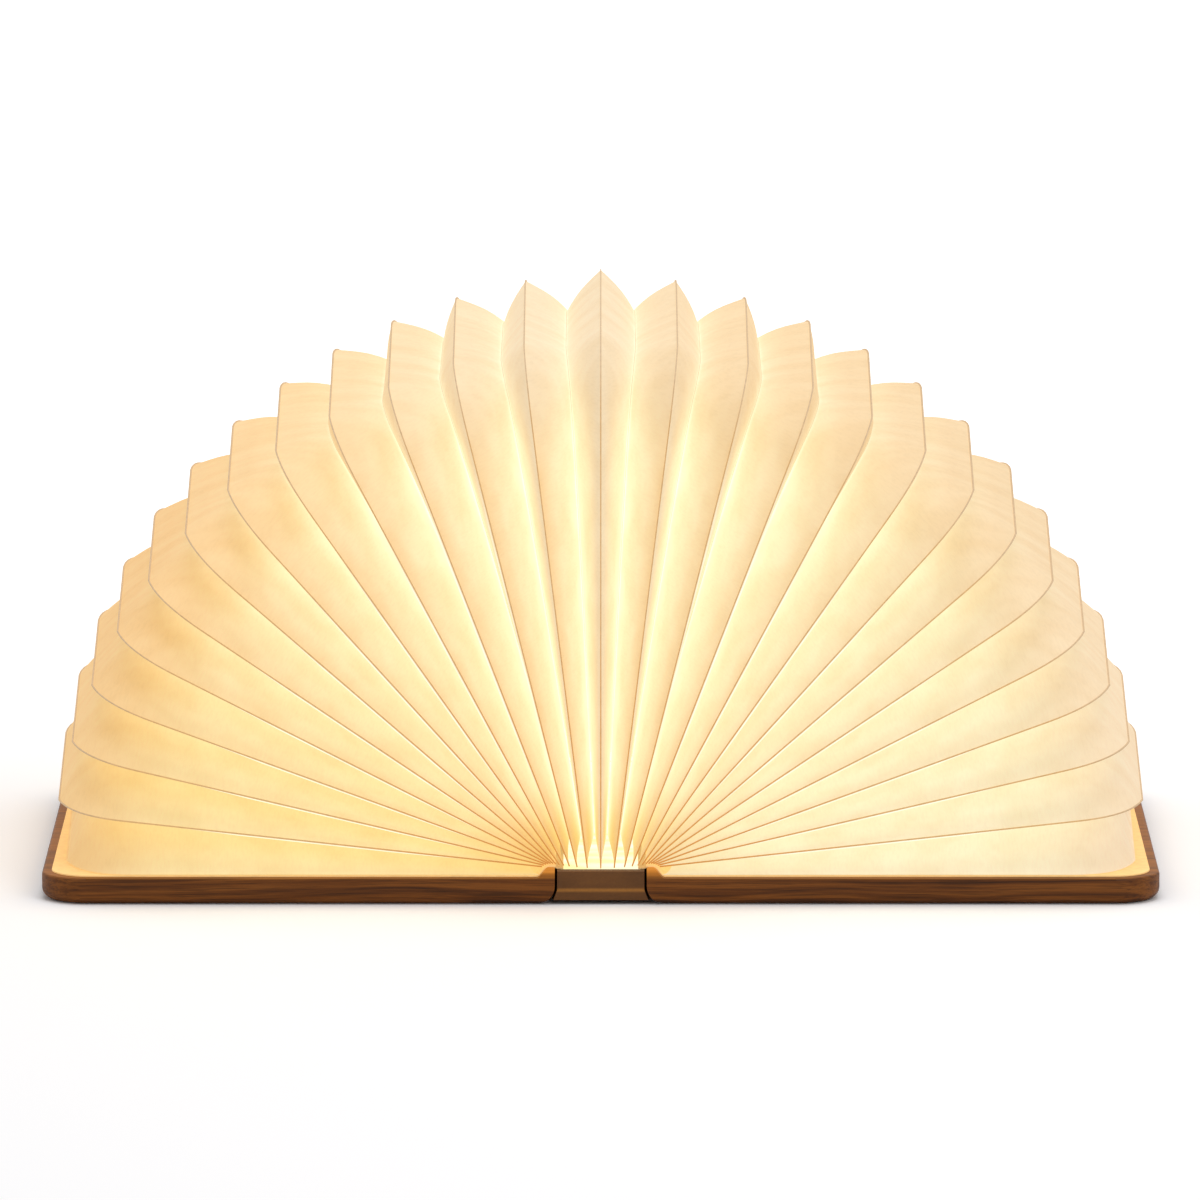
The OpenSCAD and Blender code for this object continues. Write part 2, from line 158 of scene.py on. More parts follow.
def srgb(*parts):
    """Linear colour from 0 to 255 screen values."""
    return tuple(
        p / 255 / 12.92 if p <= 10.31 else ((p / 255 + 0.055) / 1.055) ** 2.4
        for p in parts)


class BookLampPages(bpy.types.PropertyGroup):
    """Sizes of the pleated paper"""
    side_pages: bpy.props.IntProperty(
        name="Pages a side", description="Pages on each side of the middle one",
        default=sum(n.startswith("right_page_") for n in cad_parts), min=2, max=30)
    page_length: length("Outer page", "Length of the outermost page", 0.168)
    page_crown: length("Crown", "Extra length of the middle page", 0.0075)
    page_dip: length("Dip", "Shortness of the pages half way round", 0.006)
    paper_depth: length("Depth", "Depth of the paper along the spine",
                        node_size("middle_page", 1))
    first_step: angle("First step", "Turn from the middle page to the next", 7.0)
    last_turn: angle("Last turn", "Turn of the outermost page from upright", 83.7)
    root_half: length("Half root", "Half the width that the roots share", 0.0142)
    root_height: length("Root height", "Height of the pages' roots",
                        node_top("diffuser") + 0.0003)
    root_crowd: amount("Crowding", "How the roots crowd to the sides", 4.6)
    foot_height: length("Foot height", "Height of the end pleats' feet", 0.0092)
    ridge_foot: length("Ridge foot", "Bare length of the outermost ridge", 0.005)
    ridge_inset: length("Ridge inset", "Last ridge from the lining's edge", 0.0006)
    corner_length: length("Corner length", "Rear free corners, along the page", 0.018)
    corner_width: length("Corner width", "Rear free corners, along the free edge", 0.052)
    bend_length: length("Bend length", "Front free corners, along the page", 0.026)
    bend_width: length("Bend width", "Front free corners, along the free edge", 0.0273)
    bend_pull: length("Bend pull", "How far the front corners are cut back", 0.008)
    bend_drop: length("Bend drop", "Fall of the free edge towards the front", 0.0034)
    pleat_side: length("Pleat side", "Depth of the pleat at front and back", 0.030)
    pleat_end: length("Pleat end", "Depth of the pleat on the outer edge", 0.0095)
    pleat_corner_length: length("Inner corner length", "Pleat's corners, along the page",
                                0.009)
    pleat_corner_width: length("Inner corner width", "Pleat's corners, along the edge",
                               0.030)
    paper: length("Paper", "Thickness of the paper", 0.00025)
    valley_gap: length("Valley gap", "Half of the gap at a valley", 0.00006)
    valley_least: length("Valley room", "Least room beside a valley", 0.0006)
    arch: length("Arch", "Height of the arched slots at the spine", 0.0062)
    arch_grow: length("Arch growth", "Extra height of the slots at the covers", 0.004)
    seam_width: length("Seam width", "Width of the bonded edge on a ridge", 0.0005)
    seam_half: length("Half seam", "Half the thickness of the bonded edge", 0.0002)
    roll: length("Roll", "How far a sheet rolls out below its ridge", 0.0006)
    billow: factor("Billow", "How much a sheet swells, as a share of its rise", 0.10)
    closed: factor("Closed", "Thickness of a page that is kept when it closes", 0.06)


class BookLampPaper(bpy.types.PropertyGroup):
    """Colours of the lit paper"""
    paper: colour("Paper", "Colour of the paper itself", (0.46, 0.40, 0.30))
    ridge: colour("At a ridge", "Light near a ridge", (0.60, 0.37, 0.145))
    sheet: colour("On a sheet", "Light in the middle of a sheet", (0.66, 0.60, 0.38))
    valley: colour("At a valley", "Light near a valley", (0.85, 0.92, 0.72))
    ridge_root: colour("Ridge at spine", "Light near a ridge, at the spine",
                       (0.52, 0.28, 0.05))
    sheet_root: colour("Sheet at spine", "Light on a sheet, at the spine",
                       (0.58, 0.44, 0.14))
    valley_root: colour("Valley at spine", "Light near a valley, at the spine",
                        (0.95, 0.95, 0.72))
    under: colour("Under a ridge", "Light on the outer side of a ridge",
                  (0.50, 0.44, 0.33))
    roll: colour("Under a seam", "Light on the thin roll below a seam", (1.0, 1.0, 0.85))
    warm: colour("Low pages", "Light on the lowest pages at the left", (0.60, 0.46, 0.17))
    pale: colour("Pale pages", "Light on the lowest pages at the right", (0.58, 0.60, 0.45))
    # Seam colours are a painted glow, darker than the paper for the double paper and the
    # crease's painted shade, warmer towards the spine
    seam: colour("Seam", "Colour of a ridge's seam", (0.52, 0.32, 0.14))
    seam_root: colour("Seam at spine", "Colour of a seam at the spine",
                      (0.55, 0.24, 0.05))
    seam_rim: colour("Seam's end", "Colour of a seam at its free end", (0.46, 0.33, 0.20))
    glow: amount("Glow", "Strength of the lit paper", 1.0)


class BookLampWood(bpy.types.PropertyGroup):
    """Colours of the walnut covers"""
    dark: colour("Dark grain", "Colour of the grain's lines", srgb(66, 34, 10))
    middle: colour("Wood", "Colour of the wood", srgb(106, 58, 17))
    light: colour("Light grain", "Colour between the lines", srgb(136, 80, 29))
    lit: colour("Lit edge", "Light from the paper on the covers' rims", srgb(240, 150, 50))
    roughness: factor("Roughness", "Roughness of the oiled wood", 0.55)


class BookLampSpine(bpy.types.PropertyGroup):
    """Finish of the spine and of the light under it"""
    bronze: colour("Bronze", "Colour of the spine", srgb(104, 66, 30))
    # A highlight painted along the spine's bend
    highlight_band: colour("Painted highlight band", "Colour of the spine along its bend", srgb(186, 126, 52))
    roughness: factor("Roughness", "Roughness of the spine", 0.4)
    light: colour("Light", "Colour of the light strip", (1.0, 0.9, 0.42))
    strength: amount("Strength", "Strength of the light strip", 0.75)
    cloth: colour("Cloth", "Colour of the hinge cloth", srgb(214, 186, 140))


class BookLampStage(bpy.types.PropertyGroup):
    """Floor, light and camera"""
    distance: length("Distance", "Camera's distance", 4.0, 0.5, 20)
    elevation: angle("Elevation", "Camera's height angle", 8.92)
    lens: amount("Lens", "Focal length in millimetres", 359.9)
    aim: length("Aim height", "Height that the camera looks at", 0.08354)
    aside: length("Aside", "Camera's place to the left of the middle", 0.00025)
    dome: amount("Dome", "Strength of the light from all round", 0.55)
    floor: factor("Floor", "How white the floor looks", 1.08, 4)
    backdrop: factor("Backdrop", "How white the floor looks far behind", 2.1, 4)


# The paper's shape

def mix(a, b, s):
    """From a to b, by share s."""
    return a + (b - a) * s


class Fan:
    """The pleats of one half of the fan, on the +X side."""

    def __init__(self, sizes):
        self.s = sizes
        self.last = sizes.side_pages + 1
        n = sizes.side_pages
        self.fall = (sizes.first_step * n - sizes.last_turn) / (n * (n - 1))
        along, across = np.gradient(self.ridge(0, RISE), axis=1)
        self.outward = np.stack([across, -along]) / np.hypot(along, across)

    def turn(self, k):
        """Page k's angle from upright."""
        if k >= self.last:
            return math.pi / 2
        return (self.s.first_step + self.fall) * k - self.fall * k * k

    def root(self, k):
        """x and z of the place on the spine that page k stands on."""
        x = self.s.root_half * (1 - max(0, 1 - k / self.last) ** self.s.root_crowd)
        return np.array([x, self.s.foot_height if k >= self.last else self.s.root_height])

    def way(self, k):
        """Along page k, away from the spine."""
        return np.array([math.sin(self.turn(k)), math.cos(self.turn(k))])

    def upward(self, k):
        """Across page k, towards the page above it."""
        return np.array([-math.cos(self.turn(k)), math.sin(self.turn(k))])

    def page_length(self, k):
        """From page k's root to its ridge's far end."""
        if k >= self.last:
            return self.foot_reach() - self.root(k)[0]
        share = k / self.s.side_pages
        return (self.s.page_length + self.s.page_crown * (1 - share)
                - 4 * self.s.page_dip * share * (1 - share))

    def foot_reach(self):
        """x of the far end of the ridge on the lining."""
        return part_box("right_lining")[1].x - self.s.ridge_inset

    def ridge_start(self, k):
        """Where page k's ridge begins, along the page."""
        if k >= self.last:
            return self.s.arch
        return self.s.ridge_foot * (k / self.s.side_pages) ** FOOT_GROWTH

    def valley_start(self, g):
        """Where the valley above page g begins, along the page."""
        return self.s.arch + self.s.arch_grow * g / self.last

    def edge(self, start, reach, corner, inset, rise):
        """u along the page and y along the spine, for each station of a valley."""
        side = self.s.paper_depth / 2 - inset
        arc = CORNER * math.pi / 2
        u = np.concatenate([mix(start, reach - corner[0], rise),
                            reach - corner[0] * (1 - np.sin(arc))])
        y = np.concatenate([side + 0 * rise, side - corner[1] * (1 - np.cos(arc))])
        return (np.concatenate([u, reach + 0 * ACROSS, u[::-1]]),
                np.concatenate([-y, mix(-y[-1], y[-1], ACROSS), y[::-1]]))

    def ridge(self, k, rise):
        """The same for a page's ridge, whose front corner is cut back."""
        s, t = self.s, CORNER
        start, reach, count = self.ridge_start(k), self.page_length(k), len(RISE) + len(t)
        u, y = self.edge(start, reach, (s.corner_length, s.corner_width), 0, rise)
        side = y[0]
        u[:count] = np.concatenate([
            mix(start, reach - s.bend_length, rise),
            reach - s.bend_length * (1 - t) ** 2 - 2 * s.bend_pull * t * (1 - t)
            - s.bend_drop * t ** 2])
        y[:count] = np.concatenate([side + 0 * rise, side + s.bend_width * t ** 2])
        straight = slice(count, count + len(ACROSS))
        u[straight] = mix(u[count - 1], reach, ACROSS)
        y[straight] = mix(y[count - 1], y[-count], ACROSS)
        return u, y

    def lean(self, g):
        """How near a valley is to the page above it, from 0 to 1, for each station."""
        side, end = (start + rise * (1 - math.exp(-(g - first) / pages))
                     for start, rise, first, pages in (SIDE_LEAN, END_LEAN))
        half = np.concatenate([mix(side, end, 0.5 * RISE ** 4),
                               mix(side, end, 0.5 + 0.5 * CORNER)])
        return np.concatenate([half, 0 * ACROSS + end, half[::-1]])

    def on_page(self, k, u):
        """x and z of the places at u along page k."""
        return self.root(k) + u[:, None] * self.way(k)

    def valley(self, g, rise, shift):
        """x and z, and y, of the valley above page g, shifted towards that page."""
        reach = min(self.page_length(g), self.page_length(g - 1)) - self.s.pleat_end
        u, y = self.edge(self.valley_start(g), reach,
                         (self.s.pleat_corner_length, self.s.pleat_corner_width),
                         self.s.pleat_side, rise)
        low, high = self.on_page(g, u), self.on_page(g - 1, u)
        width = np.linalg.norm(high - low, axis=1)
        least = self.s.valley_least
        lean = np.where(width < 2 * least, 0.5,
                        np.minimum(self.lean(g), 1 - least / width))
        across = (high - low) / width[:, None]
        return low + (high - low) * lean[:, None] - across * shift, y

    def arch_shift(self, t, start, valley_start, rise_length):
        """Where the side starts at t, so that the slot at the spine is a round arch."""
        lift = (valley_start - start) * (math.sqrt(2 * t - t * t) - t)
        return lift / rise_length

    def rolled(self, k):
        """Share of the roll under page k, for each station: none at the ends."""
        share = min(1, max(0, (k - 1) / 2))
        side = share * np.interp(RISE, *ROLL_RISE)
        rest = np.zeros(2 * len(CORNER) + len(ACROSS))
        return np.concatenate([side, rest, side[::-1]])

    def sheet(self, k, up):
        """Outer and inner rows of one sheet of page k, each (u, y, height, t)."""
        g = k if up else k + 1
        sign = 1 if up else -1
        start, base = self.ridge_start(k), self.s.seam_half
        span = self.page_length(k) - self.s.corner_length - start
        roll = 0 if up else self.s.roll * self.rolled(k)
        outer, inner = [], []
        for t, rolled in zip(FOLD, ROLL):
            low = self.arch_shift(t, start, self.valley_start(g), span)
            rise = low + (1 - low) * RISE
            u_ridge, y_ridge = self.ridge(k, rise)
            u_ridge = u_ridge - self.outward[0] * self.s.seam_width
            y_ridge = y_ridge - self.outward[1] * self.s.seam_width
            at, y_valley = self.valley(g, rise, sign * self.s.valley_gap)
            from_root = at - self.root(k)
            u_valley = from_root @ self.way(k)
            h_valley = np.abs(from_root @ self.upward(k))
            swell = self.s.billow * h_valley * math.sin(math.pi * t)
            u, y = mix(u_ridge, u_valley, t), mix(y_ridge, y_valley, t)
            h = mix(base, h_valley, t) + swell + roll * rolled
            h_in = np.maximum(h - self.s.paper, INNER_LEAST)
            outer.append((u, y, sign * h, t))
            inner.append((u, y, sign * h_in, t))
        return outer, inner

    def place(self, k, u, y, h):
        """Points at u along page k, y along the spine and h above the page."""
        at = self.root(k) + u[:, None] * self.way(k) + h[:, None] * self.upward(k)
        return np.stack([at[:, 0], y, at[:, 1]], axis=1)


def sheet_mesh(name, fan, k, rows, strips, caps, side):
    """A closed mesh from rows of stations.

    rows are (u, y, height, t); strips say the material between a row and the
    next; caps are the faces that close both ends, as row numbers. The attributes
    tell the materials where on the fan each point lies."""
    stations = len(rows[0][0])
    points, reach, fold, under, roll, place = [], [], [], [], [], []
    total = fan.page_length(min(k, fan.last))
    for u, y, h, t in rows:
        points.append(fan.place(k, u, y, h))
        reach.append(u / total)
        fold.append(0 * u + t)
        under.append((h < 0) * 1.0)
        roll.append((h < 0) * np.interp(t, FOLD, ROLL) * fan.rolled(k))
        place.append(np.stack([u, y, 0 * u + FIBRE_SHIFT * k], axis=1))
    points = np.concatenate(points)
    points[:, 0] *= SIDES[side]
    faces, kinds = [], []
    for i, kind in enumerate(strips):
        a, b = i * stations, (i + 1) % len(rows) * stations
        for j in range(stations - 1):
            faces.append((a + j, a + j + 1, b + j + 1, b + j))
            kinds.append(kind)
    for cap in caps:
        for j in (0, stations - 1):
            faces.append(tuple(r * stations + j for r in cap))
            kinds.append(0)
    mesh = bpy.data.meshes.new(name)
    mesh.from_pydata(points.tolist(), [], faces)
    mesh.polygons.foreach_set("material_index", kinds)
    mesh.polygons.foreach_set("use_smooth", [True] * len(faces))
    turned = 0.5 + 0.5 * SIDES[side] * min(1, k / fan.s.side_pages)
    for key, values in (("reach", reach), ("fold", fold), ("under", under), ("roll", roll),
                        ("turned", [0 * points[:, 0] + turned])):
        mesh.attributes.new(key, "FLOAT", "POINT").data.foreach_set(
            "value", np.concatenate(values).astype(np.float32))
    mesh.attributes.new("sheet", "FLOAT_VECTOR", "POINT").data.foreach_set(
        "vector", np.concatenate(place).astype(np.float32).ravel())
    work = bmesh.new()
    work.from_mesh(mesh)
    bmesh.ops.recalc_face_normals(work, faces=work.faces)
    work.to_mesh(mesh)
    work.free()
    mesh.set_sharp_from_angle(angle=SHARP_EDGE)
    piece = bpy.data.objects.new(name, mesh)
    bpy.context.scene.collection.objects.link(piece)
    return piece


def sheet_caps(outer, inner, inner_ridge):
    """Faces that close a sheet's ends: outer and inner row numbers, ridge first."""
    caps = []
    for i in range(1, len(outer)):
        previous = inner_ridge if i == 1 else inner[i - 2]
        caps.append((outer[i - 1], outer[i], inner[i - 1], previous))
    return caps


PAPER, SEAM, INSIDE = 0, 1, 2


def page_piece(name, fan, k, side):
    """A whole page: two sheets that meet in a bonded seam on the ridge."""
    s = fan.s
    up_out, up_in = fan.sheet(k, True)
    down_out, down_in = fan.sheet(k, False)
    u, y = fan.ridge(k, RISE)
    tip_up, tip_down = (u, y, 0 * u + s.seam_half, 0), (u, y, 0 * u - s.seam_half, 0)
    middle = (up_in[0][0], up_in[0][1], 0 * u, 0)
    rows = (up_out[::-1] + [tip_up, tip_down] + down_out
            + down_in[:0:-1] + [middle] + up_in[1:])
    n = len(FOLD)
    strips = ([PAPER] * (n - 1) + [SEAM] * 3 + [PAPER] * n
              + [INSIDE] * (2 * n - 2) + [PAPER])
    seat = 3 * n + 1
    up_caps = sheet_caps(list(range(n - 1, -1, -1)),
                         list(range(seat + 1, seat + n)), seat)
    down_caps = sheet_caps(list(range(n + 2, 2 * n + 2)),
                           list(range(3 * n, 2 * n + 1, -1)), seat)
    seam_cap = [(n - 1, n, n + 1, n + 2, seat)]
    return sheet_mesh(name, fan, k, rows, strips, up_caps + down_caps + seam_cap, side)


def half_page_piece(name, fan, side):
    """Half of the middle page, from its middle plane to the first valley."""
    s = fan.s
    down_out, down_in = fan.sheet(0, False)
    u, y = fan.ridge(0, RISE)
    tip, tip_down = (u, y, 0 * u, 0), (u, y, 0 * u - s.seam_half, 0)
    middle = (down_in[0][0], down_in[0][1], 0 * u, 0)
    rows = [tip, tip_down] + down_out + down_in[:0:-1] + [middle]
    n = len(FOLD)
    strips = [SEAM] * 2 + [PAPER] * n + [INSIDE] * n
    seat = 2 * n + 1
    caps = sheet_caps(list(range(2, n + 2)), list(range(2 * n, n + 1, -1)), seat)
    caps.append((0, 1, 2, seat))
    return sheet_mesh(name, fan, 0, rows, strips, caps, side)


def end_pleat_piece(name, fan, side):
    """The half pleat between the lowest page and the lining, with its glued foot."""
    s = fan.s
    up_out, up_in = fan.sheet(fan.last, True)
    u, y = fan.ridge(fan.last, RISE)
    tip, tip_low = (u, y, 0 * u + s.seam_half, 0), (u, y, 0 * u, 0)
    middle = (up_in[0][0], up_in[0][1], 0 * u, 0)
    rows = up_out[::-1] + [tip, tip_low, middle] + up_in[1:]
    n = len(FOLD)
    strips = [PAPER] * (n + 2) + [INSIDE] * (n - 1) + [PAPER]
    seat = n + 2
    caps = sheet_caps(list(range(n - 1, -1, -1)), list(range(seat + 1, seat + n)), seat)
    caps.append((n - 1, n, n + 1, seat))
    return sheet_mesh(name, fan, fan.last, rows, strips, caps, side)


# Finishes

class Finish:
    """A material: its shader, and short calls for the nodes that feed it."""

    def __init__(self, name, **sockets):
        self.material = bpy.data.materials.new(name)
        self.material.use_nodes = True
        self.tree = self.material.node_tree
        self.shader = self.tree.nodes["Principled BSDF"]
        self.set(**sockets)

    def add(self, kind, inputs=(), **settings):
        node = self.tree.nodes.new("ShaderNode" + kind)
        for key, value in settings.items():
            setattr(node, key, value)
        for key, value in dict(inputs).items():
            self.feed(value, node.inputs[key])
        return node

    def feed(self, value, socket):
        if isinstance(value, bpy.types.NodeSocket):
            self.tree.links.new(value, socket)
        elif socket.type == "RGBA" and hasattr(value, "__len__") and len(value) == 3:
            socket.default_value = (*value, 1)
        else:
            socket.default_value = value

    def set(self, **sockets):
        for key, value in sockets.items():
            self.feed(value, self.shader.inputs[key.replace("_", " ")])

    def attribute(self, name, output="Fac"):
        return self.add("Attribute", attribute_name=name).outputs[output]

    def ramp(self, value, stops, ease="LINEAR"):
        node = self.add("ValToRGB", {"Fac": value})
        node.color_ramp.interpolation = ease
        points = node.color_ramp.elements
        while len(points) < len(stops):
            points.new(0.5)
        for point, (place, shade) in zip(points, stops):
            point.position = place
            point.color = (*shade, 1) if len(shade) == 3 else shade
        return node.outputs["Color"]

    def blend(self, fac, a, b, mode="MIX"):
        node = self.add("Mix", data_type="RGBA", blend_type=mode)
        for value, index in ((fac, 0), (a, 6), (b, 7)):
            self.feed(value, node.inputs[index])
        return node.outputs[2]

    def math(self, kind, a, b):
        node = self.add("Math", operation=kind)
        self.feed(a, node.inputs[0])
        self.feed(b, node.inputs[1])
        return node.outputs[0]

    def noise(self, vector, scale, detail=2.0, roughness=0.5):
        return self.add("TexNoise", {
            "Vector": vector, "Scale": scale, "Detail": detail, "Roughness": roughness,
        }).outputs["Fac"]

    def stretched(self, vector, scale, rotation=(0, 0, 0)):
        return self.add("Mapping", {
            "Vector": vector, "Scale": scale, "Rotation": rotation}).outputs["Vector"]

    def object_place(self):
        return self.add("TexCoord").outputs["Object"]

    def bump(self, height, strength, distance):
        return self.add("Bump", {
            "Height": height, "Strength": strength, "Distance": distance,
        }).outputs["Normal"]


def grey(value):
    """An even grey."""
    return (value, value, value)


def paper_finish(c):
    """Lit fibre paper: warm at the ridges, nearly white at the valleys."""
    f = Finish("lit_paper", Roughness=0.8, Specular_IOR_Level=0.2)
    fold, reach = f.attribute("fold"), f.attribute("reach")
    place = f.attribute("sheet", "Vector")
    ridge, sheet, valley = (np.array(v) for v in (c.ridge, c.sheet, c.valley))
    outer = f.ramp(fold, [(0, ridge), (0.3, mix(ridge, sheet, 0.7)), (0.6, sheet),
                          (0.92, mix(sheet, valley, 0.35)), (1, valley)])
    inner = f.ramp(fold, [(0, c.ridge_root), (0.45, c.sheet_root),
                          (0.85, mix(np.array(c.sheet_root), np.array(c.valley_root), 0.4)),
                          (1, c.valley_root)])
    near = f.ramp(reach, [(0.02, grey(0)), (0.18, grey(1))], "EASE")
    light = f.blend(near, inner, outer)
    ridged = f.ramp(fold, [(0, grey(0.8)), (0.45, grey(0))], "EASE")
    light = f.blend(f.math("MULTIPLY", f.attribute("under"), ridged), light, c.under)
    turned = f.attribute("turned")
    light = f.blend(f.ramp(turned, [(0, grey(0.8)), (0.17, grey(0.16)), (0.3, grey(0))]),
                    light, c.warm)
    light = f.blend(f.ramp(turned, [(0.5, grey(0)), (1, grey(0.6))]), light, c.pale)
    far = f.ramp(reach, [(0.72, grey(0)), (0.98, grey(1))], "EASE")
    near_ridge = f.ramp(fold, [(0.3, grey(1)), (1, grey(0.6))])
    light = f.blend(f.math("MULTIPLY", far, near_ridge), light, f.ramp(turned, RIM_LIGHT))
    light = f.blend(f.attribute("roll"), light, c.roll)
    cloud = f.ramp(f.noise(place, 70, 3, 0.55),
                   [(0.35, srgb(250, 246, 240)), (0.65, grey(1))])
    wisps = f.noise(f.stretched(place, (1300, 300, 1), (0, 0, math.radians(38))), 1, 3, 0.6)
    wisp = f.ramp(wisps, [(0.35, grey(0.965)), (0.55, grey(1))])
    tone = f.blend(1.0, cloud, wisp, "MULTIPLY")
    f.set(Base_Color=f.blend(1.0, c.paper, tone, "MULTIPLY"),
          Emission_Color=f.blend(1.0, light, tone, "MULTIPLY"), Emission_Strength=c.glow,
          Normal=f.bump(f.noise(place, 900, 2), 0.08, 0.0002))
    return f.material


def seam_finish(c):
    """The bonded edge along each ridge, with a painted glow, darker than the paper beside it
    for its double paper and for the crease's painted shade.
    """
    f = Finish("paper_seam", Roughness=0.8)
    reach = f.attribute("reach")
    tone = f.ramp(reach, [(0.05, c.seam_root), (0.5, c.seam), (0.85, c.seam),
                          (0.95, c.seam_rim)])
    fibre = f.noise(f.attribute("sheet", "Vector"), 500, 2)
    tone = f.blend(1.0, tone, f.ramp(fibre, [(0.3, grey(0.85)), (0.7, grey(1))]), "MULTIPLY")
    # The seam's tone is given off as a painted glow
    f.set(Base_Color=tone, Emission_Color=tone, Emission_Strength=0.6)
    return f.material


def inside_finish(c):
    """The inner face of the paper, close to the light strip."""
    f = Finish("paper_inside", Base_Color=c.paper, Roughness=0.8)
    near = f.ramp(f.attribute("reach"), [(0.02, c.valley_root), (0.3, c.sheet)])
    fibre = f.noise(f.attribute("sheet", "Vector"), 300, 2)
    near = f.blend(1.0, near, f.ramp(fibre, [(0.3, grey(0.94)), (0.7, grey(1))]), "MULTIPLY")
    f.set(Emission_Color=near, Emission_Strength=0.6)
    return f.material


def walnut_finish(c):
    """Oiled walnut with its grain along X, warm where the paper lights it."""
    f = Finish("walnut_wood", Roughness=c.roughness, Specular_IOR_Level=0.2)
    place = f.object_place()
    drift = f.noise(f.stretched(place, (5, 14, 14)), 1, 3)
    bent = f.add("VectorMath", {0: place, 1: f.blend(1.0, drift, grey(0.02), "MULTIPLY")},
                 operation="ADD").outputs[0]
    bands = f.noise(f.stretched(bent, (9, 210, 620)), 1, 4, 0.6)
    tone = f.ramp(bands, [(0.3, c.dark), (0.46, c.middle), (0.62, c.light), (0.8, c.middle)])
    pores = f.noise(f.stretched(place, (60, 1400, 2400)), 1, 2, 0.5)
    pore = f.ramp(pores, [(0.34, grey(0.6)), (0.46, grey(1))])
    wide = f.ramp(f.noise(f.stretched(place, (3, 24, 30)), 1, 2),
                  [(0.3, grey(0.85)), (0.7, grey(1))])
    tone = f.blend(1.0, tone, pore, "MULTIPLY")
    tone = f.blend(1.0, tone, wide, "MULTIPLY")
    height = f.add("SeparateXYZ", {"Vector": place}).outputs["Z"]
    lit = f.ramp(f.math("MULTIPLY", height, 80), LIT_HEIGHTS, "EASE")
    f.set(Base_Color=tone, Normal=f.bump(pores, 0.25, 0.0002),
          Emission_Color=f.blend(0.6, tone, f.blend(1.0, tone, c.lit, "SCREEN")),
          Emission_Strength=lit)
    return f.material


def bronze_finish(c):
    """Brown bronze sheet, brushed along the spine, with a highlight painted along its bend."""
    f = Finish("spine_bronze_sheet", Metallic=0.6, Roughness=c.roughness)
    place = f.object_place()
    brushed = f.noise(f.stretched(place, (900, 20, 1500)), 1, 3, 0.6)
    stain = f.noise(f.stretched(place, (60, 60, 200)), 1, 3)
    tone = f.ramp(stain, [(0.3, [v * 0.7 for v in c.bronze]), (0.7, tuple(c.bronze))])
    height = f.add("SeparateXYZ", {"Vector": place}).outputs["Z"]
    # A highlight painted along the spine's bend, by height
    wear_and_highlight = f.ramp(f.math("MULTIPLY", height, 100), HIGHLIGHT_HEIGHTS, "EASE")
    tone = f.blend(wear_and_highlight, tone, c.highlight_band)
    tone = f.blend(1.0, tone, f.ramp(brushed, [(0.3, grey(0.86)), (0.7, grey(1))]), "MULTIPLY")
    f.set(Base_Color=tone, Normal=f.bump(brushed, 0.15, 0.0001))
    return f.material


def light_strip_finish(c):
    """The frosted strip, a little uneven in brightness along the spine."""
    f = Finish("frosted_light_strip", Base_Color=(0.5, 0.46, 0.3), Roughness=0.5)
    spots = f.noise(f.stretched(f.object_place(), (60, 110, 60)), 1, 1)
    tone = f.blend(f.ramp(spots, [(0.35, grey(0)), (0.65, grey(1))]), c.light, (1, 1, 0.92))
    f.set(Emission_Color=tone, Emission_Strength=c.strength)
    return f.material


def cloth_finish(c):
    """Plain woven hinge cloth, with warm lamp light painted on it as a glow."""
    f = Finish("woven_hinge_cloth", Roughness=0.9)
    place = f.object_place()
    weave = f.add("TexChecker", {"Vector": place, "Scale": 2600.0,
                                 "Color1": c.cloth, "Color2": tuple(0.72 * v for v in c.cloth)})
    wear_and_highlight = f.ramp(f.noise(place, 220, 2), [(0.3, grey(0.85)), (0.7, grey(1))])
    # The warm emission is lamp light painted on the cloth as a glow
    f.set(Base_Color=f.blend(1.0, weave.outputs["Color"], wear_and_highlight, "MULTIPLY"),
          Emission_Color=srgb(255, 200, 120), Emission_Strength=0.25,
          Normal=f.bump(weave.outputs["Fac"], 0.3, 0.0001))
    return f.material


def seen_by_eye(tree):
    """1 for rays from the camera, straight or by way of metal or glass."""
    path = tree.nodes.new("ShaderNodeLightPath")
    seen = path.outputs["Is Camera Ray"]
    for kind in ("Is Glossy Ray", "Is Transmission Ray"):
        either = tree.nodes.new("ShaderNodeMath")
        either.operation = "MAXIMUM"
        tree.links.new(seen, either.inputs[0])
        tree.links.new(path.outputs[kind], either.inputs[1])
        seen = either.outputs[0]
    return seen


def plain_finish(name, shade, roughness, metallic=0.0, lit=0.0):
    """Moulded, plated or printed small parts: one shade with a fine speckle."""
    f = Finish(name, Roughness=roughness, Metallic=metallic)
    fine = f.noise(f.object_place(), 400, 3)
    tone = f.ramp(fine, [(0.3, [v * SPECKLE for v in shade]), (0.7, tuple(shade))])
    f.set(Base_Color=tone, Normal=f.bump(fine, 0.08, 0.0001))
    # lit gives off the part's colour as light: the light chips' own glow, and painted lamp
    # light on the lining paper
    if lit:
        f.set(Emission_Color=tone, Emission_Strength=lit)
    return f.material


def dress(node, *materials):
    """Gives a node of the frame, or a new piece, its materials."""
    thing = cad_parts[node] if isinstance(node, str) else node
    slots = thing.data.materials
    # Clearing empty slots would still reset each face's material
    if len(slots):
        slots.clear()
    for material in materials:
        slots.append(material)


def settings(name):
    """The scene's group of sizes or colours of that name."""
    return getattr(bpy.context.scene, "book_lamp_" + name)


def shared(name, make):
    """The material of that name, made once."""
    return bpy.data.materials.get(name) or make()


